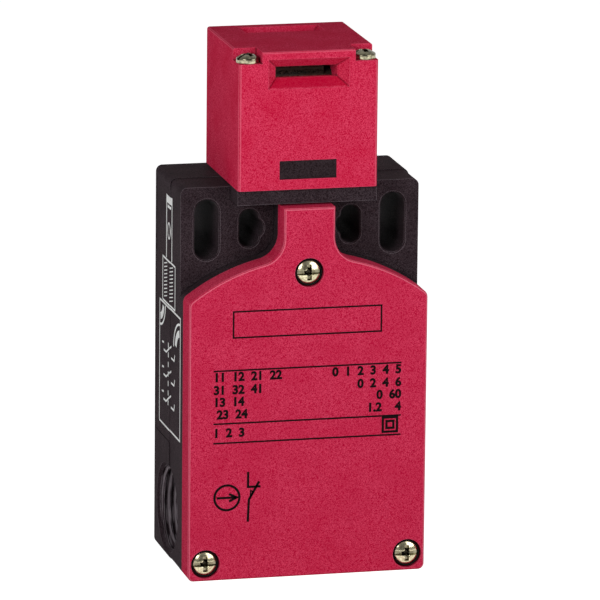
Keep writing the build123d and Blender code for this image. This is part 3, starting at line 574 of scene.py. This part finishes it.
def lettering(words, size, place, align):
    """Outlines of the built-in font, thickened, as a thin closed shell at a point of the plane."""
    curve = bpy.data.curves.new("lettering", "FONT")
    curve.body = words
    curve.size = size
    curve.align_x = align
    curve.align_y = "CENTER"
    curve.offset = bolder * size
    curve.extrude = ink_thickness / 2
    curve.resolution_u = 4
    text = bpy.data.objects.new("lettering", curve)
    bpy.context.scene.collection.objects.link(text)
    bpy.context.view_layer.update()
    shape = bmesh.new()
    shape.from_mesh(bpy.data.meshes.new_from_object(text))
    bmesh.ops.remove_doubles(shape, verts=shape.verts, dist=0.001 * mm)
    bmesh.ops.recalc_face_normals(shape, faces=shape.faces)
    shape.verts.index_update()
    points = np.array([vertex.co for vertex in shape.verts]) + (*place, ink_thickness / 2)
    faces = [[vertex.index for vertex in face.verts] for face in shape.faces]
    shape.free()
    bpy.data.objects.remove(text)
    return points, faces


def on_plane(shells, origin, right, up, out):
    """Flat shells carried onto a surface, from their own right, up and out directions."""
    turn = np.array([right, up, out], float)
    return [(points @ turn + np.array(origin), faces) for points, faces in shells]


def printing_ink(name, base, second_tone):
    """Ink over a grained surface: a plain colour with small thin spots, nearly dull."""
    material, tree, shader, place = new_material(name)
    spots = mapped(tree, noise(tree, place, 0.3 * mm, 2.0), 0.55, 0.75, high=0.6)
    tree.links.new(mixed(tree, spots, base, second_tone), shader.inputs["Base Color"])
    shader.inputs["Roughness"].default_value = 0.5
    shader.inputs["Specular IOR Level"].default_value = 0.05
    return material


black_ink = printing_ink("black pad-printing ink", "#0d0507", "#2a0e16")
line = 0.34 * mm
bold = 0.5 * mm


def box_points(left, right, low, high):
    """The four corners of an upright rectangle, counter-clockwise."""
    return np.array([(left, low), (right, low), (right, high), (left, high)]) * mm


marks = [stroke(box_points(-16.3, 15.7, 52.7, 58.3), line, closed=True)]
for level in (45.65, 34.2, 30.0):
    marks.append(stroke(np.array([(rows_left, level), (rows_right, level)]) * mm, line))
rows = (
    (44.2, "11  12  21  22", "0  1  2  3  4  5"),
    (41.4, "31  32  41", "0  2  4  6"),
    (38.8, "13  14", "0  60"),
    (36.1, " 23  24", "1.2    4"),
    (32.1, "1  2  3", ""),
)
for level, left, right in rows:
    marks.append(lettering(left, letter_height, (rows_left * mm, level * mm), "LEFT"))
    if right:
        marks.append(lettering(right, letter_height, (rows_right * mm, level * mm), "RIGHT"))
marks.append(stroke(box_points(16.3, 19.4, 30.7, 33.8), bold, closed=True))
marks.append(stroke(box_points(17.1, 18.6, 31.5, 33.0), bold, closed=True))

arrow_centre = np.array((-17.46, 18.06)) * mm
marks.append(stroke(arc(arrow_centre, 2.7 * mm, 0, 360, 73)[:-1], bold, closed=True))
marks.append(stroke(arrow_centre + np.array([(-2.2, 0), (2.0, 0)]) * mm, bold))
marks.append(stroke(arrow_centre + np.array([(0.45, 0.8), (2.15, 0), (0.45, -0.8)]) * mm, bold))
contact = np.array((-12.9, 20.2)) * mm
marks.append(stroke(contact + np.array([(0, 3.3), (0, 0), (2.7, 0)]) * mm, bold))
marks.append(stroke(contact + np.array([(2.4, 1.1), (0.2, -2.8), (0, -7.6)]) * mm, bold))
flag = contact + np.array([(0.6, -0.8), (1.2, -1.2), (0.4, -2.4)]) * mm
marks.append(stroke(flag, 0.28 * mm, closed=True))
new_piece(
    "cover_marks",
    on_plane(marks, (0, cover_y, 0), (1, 0, 0), (0, 0, 1), (0, -1, 0)),
    black_ink,
)

# Wiring diagram printed in white on the housing's left side, over the parting step.
# A plain one of the builder's own: two guide lines, a terminal field, and three contacts that
# one dashed line joins. Pad-printing ink, thin and a little uneven.
white_ink = printing_ink("white pad-printing ink", "#f2f3f2", "#a9a7a8")
seam = 14.6 * mm
seam_step = 0.1 * mm
sampling = 0.1 * mm


def side_stroke(points, width=0.4, closed=False):
    """A stroke on the side, in millimetres, sampled finely to follow the step at the seam."""
    path = np.asarray(points, float) * mm
    path = np.vstack([path, path[:1]]) if closed else path
    lengths = np.concatenate([[0], np.cumsum(np.linalg.norm(np.diff(path, axis=0), axis=1))])
    along = np.linspace(0, lengths[-1], max(int(lengths[-1] / sampling), 3))
    dense = np.stack([np.interp(along, lengths, path[:, i]) for i in (0, 1)], -1)
    points, faces = stroke(dense, width * mm)
    points[:, 2] -= np.where(points[:, 0] > seam, seam_step, 0)
    return points, faces


diagram = [
    side_stroke([(11.1, 65.6), (11.1, 79.4)], 0.5),
    side_stroke([(15.8, 65.6), (15.8, 79.4)], 0.5),
    side_stroke([(11.4, 78.5), (15.5, 78.5)], 1.6),
    side_stroke([(12.1, 77.0), (14.8, 77.0)], 0.6),
    side_stroke(arc((13.4, 71.8), 1.2, 0, 360, 25) * (1, 1.4) - (0, 28.7)),
    side_stroke([(7.6, 55.8), (19.1, 55.8), (19.1, 65.2), (7.6, 65.2)], closed=True),
    side_stroke([(4.9, 28.6), (24.4, 28.6), (24.4, 55.2), (4.9, 55.2)], closed=True),
    side_stroke(arc((5.1, 55.0), 5.2, -88, -2, 25), 0.5),
    side_stroke(arc((5.1, 55.0), 3.4, -80, -10, 25), 1.5),
    side_stroke(arc((24.2, 47.6), 6.2, 92, 178, 25), 0.5),
    side_stroke(arc((24.2, 47.6), 4.2, 100, 170, 25), 1.5),
]
for column in (10.4, 15.6):
    for rung in range(10):
        low = 56.7 + 0.8 * rung
        diagram.append(side_stroke([(column - 1.4, low), (column + 1.4, low + 0.7)], 0.24))
for pole in range(3):
    low = 34.2 + 5.4 * pole
    diagram.append(side_stroke([(9.0, low), (11.4, low), (15.8, low + 2.2)]))
    diagram.append(side_stroke([(15.8, low - 0.3), (18.6, low - 0.3), (19.2, low + 1.1)]))
    diagram.append(side_stroke([(7.4, low + 1.4), (9.0, low + 1.6)]))
for dash in range(7):
    low = 33.8 + 2.1 * dash
    diagram.append(side_stroke([(13.4, low), (13.4, low + 1.1)], 0.5))
new_piece(
    "side_diagram",
    on_plane(diagram, (-25.9 * mm, 16.5 * mm, 0), (0, -1, 0), (0, 0, 1), (-1, 0, 0)),
    white_ink,
)

# Studio: a white paper floor, a pale room, and a soft lamp on each side of the camera.
# The floor and the room look white to the camera, and the floor keeps the object's shadow.
reach = 4.0
paper_colour = "#e8e8e8"
paper_glow = "#eeeeee"
room_light = 0.18
room_front, room_behind = 0.15, 1.0
head_middle = (0, 0, 0.1)


def mirror_rays(tree):
    """The light path's outputs, and one for rays that a mirror or glass sends on."""
    rays = add(tree, "ShaderNodeLightPath").outputs
    mirrored = calculated(tree, "MAXIMUM", rays["Is Glossy Ray"], rays["Is Transmission Ray"])
    return rays, mirrored


corners = [(-reach, -reach, 0), (reach, -reach, 0), (reach, reach, 0), (-reach, reach, 0)]
floor_mesh = bpy.data.meshes.new("floor")
floor_mesh.from_pydata(corners, [], [(0, 1, 2, 3)])
floor = bpy.data.objects.new("floor", floor_mesh)
bpy.context.scene.collection.objects.link(floor)
paper, tree, shader, place = new_material("white paper")
shader.inputs["Base Color"].default_value = linear(paper_colour)
shader.inputs["Roughness"].default_value = 0.9
rays, mirrored = mirror_rays(tree)
glow = add(tree, "ShaderNodeEmission", {
    "Strength": calculated(tree, "MAXIMUM", mirrored, rays["Is Camera Ray"]),
    "Color": linear(paper_glow),
})
both = add(tree, "ShaderNodeAddShader", {0: shader.outputs["BSDF"], 1: glow.outputs["Emission"]})
output = next(node for node in tree.nodes if node.type == "OUTPUT_MATERIAL")
tree.links.new(both.outputs["Shader"], output.inputs["Surface"])
floor_mesh.materials.append(paper)

world = bpy.data.worlds.new("studio")
world.use_nodes = True
tree = world.node_tree
tree.nodes.clear()
rays, mirrored = mirror_rays(tree)
direction = add(tree, "ShaderNodeTexCoord").outputs["Generated"]
backwards = add(tree, "ShaderNodeSeparateXYZ", {"Vector": direction}).outputs["Y"]
room = mapped(tree, backwards, -0.9, 0.3, room_front, room_behind)
level = add(tree, "ShaderNodeMix", {"Factor": mirrored, "A": room_light, "B": room})
sky = add(tree, "ShaderNodeBackground", {
    "Strength": calculated(tree, "MAXIMUM", level.outputs["Result"], rays["Is Camera Ray"]),
    "Color": (1, 1, 1, 1),
})
add(tree, "ShaderNodeOutputWorld", {"Surface": sky.outputs["Background"]})
bpy.context.scene.world = world


def aim(thing, azimuth, elevation, distance, target, roll=0.0):
    """Puts a camera or lamp on a sphere round the target, looking at it; degrees and metres."""
    turn = Euler((math.radians(90 - elevation), 0, math.radians(azimuth)), "XYZ").to_matrix()
    tilt = Euler((0, 0, math.radians(roll)), "XYZ").to_matrix()
    thing.rotation_euler = (turn @ tilt).to_euler()
    thing.location = Vector(target) + turn @ Vector((0, 0, distance))


def lamp(name, azimuth, elevation, distance, size, power):
    """A square area lamp aimed at the head."""
    data = bpy.data.lights.new(name, "AREA")
    data.size = size
    data.energy = power
    obj = bpy.data.objects.new(name, data)
    bpy.context.scene.collection.objects.link(obj)
    aim(obj, azimuth, elevation, distance, head_middle)


lamp("left", -46, 16, 0.3, 0.15, 0.48)
lamp("right", 41, 16, 0.3, 0.2, 0.48)

camera_data = bpy.data.cameras.new("camera")
camera_data.sensor_width = 36
camera_data.lens = 383.5
camera = bpy.data.objects.new("camera", camera_data)
bpy.context.scene.collection.objects.link(camera)
aim(camera, -13.85, 13.3, 1.3593, (0.00202, 0, 0.05623), roll=0.586)
bpy.context.scene.camera = camera
bpy.context.scene.view_settings.view_transform = "Standard"
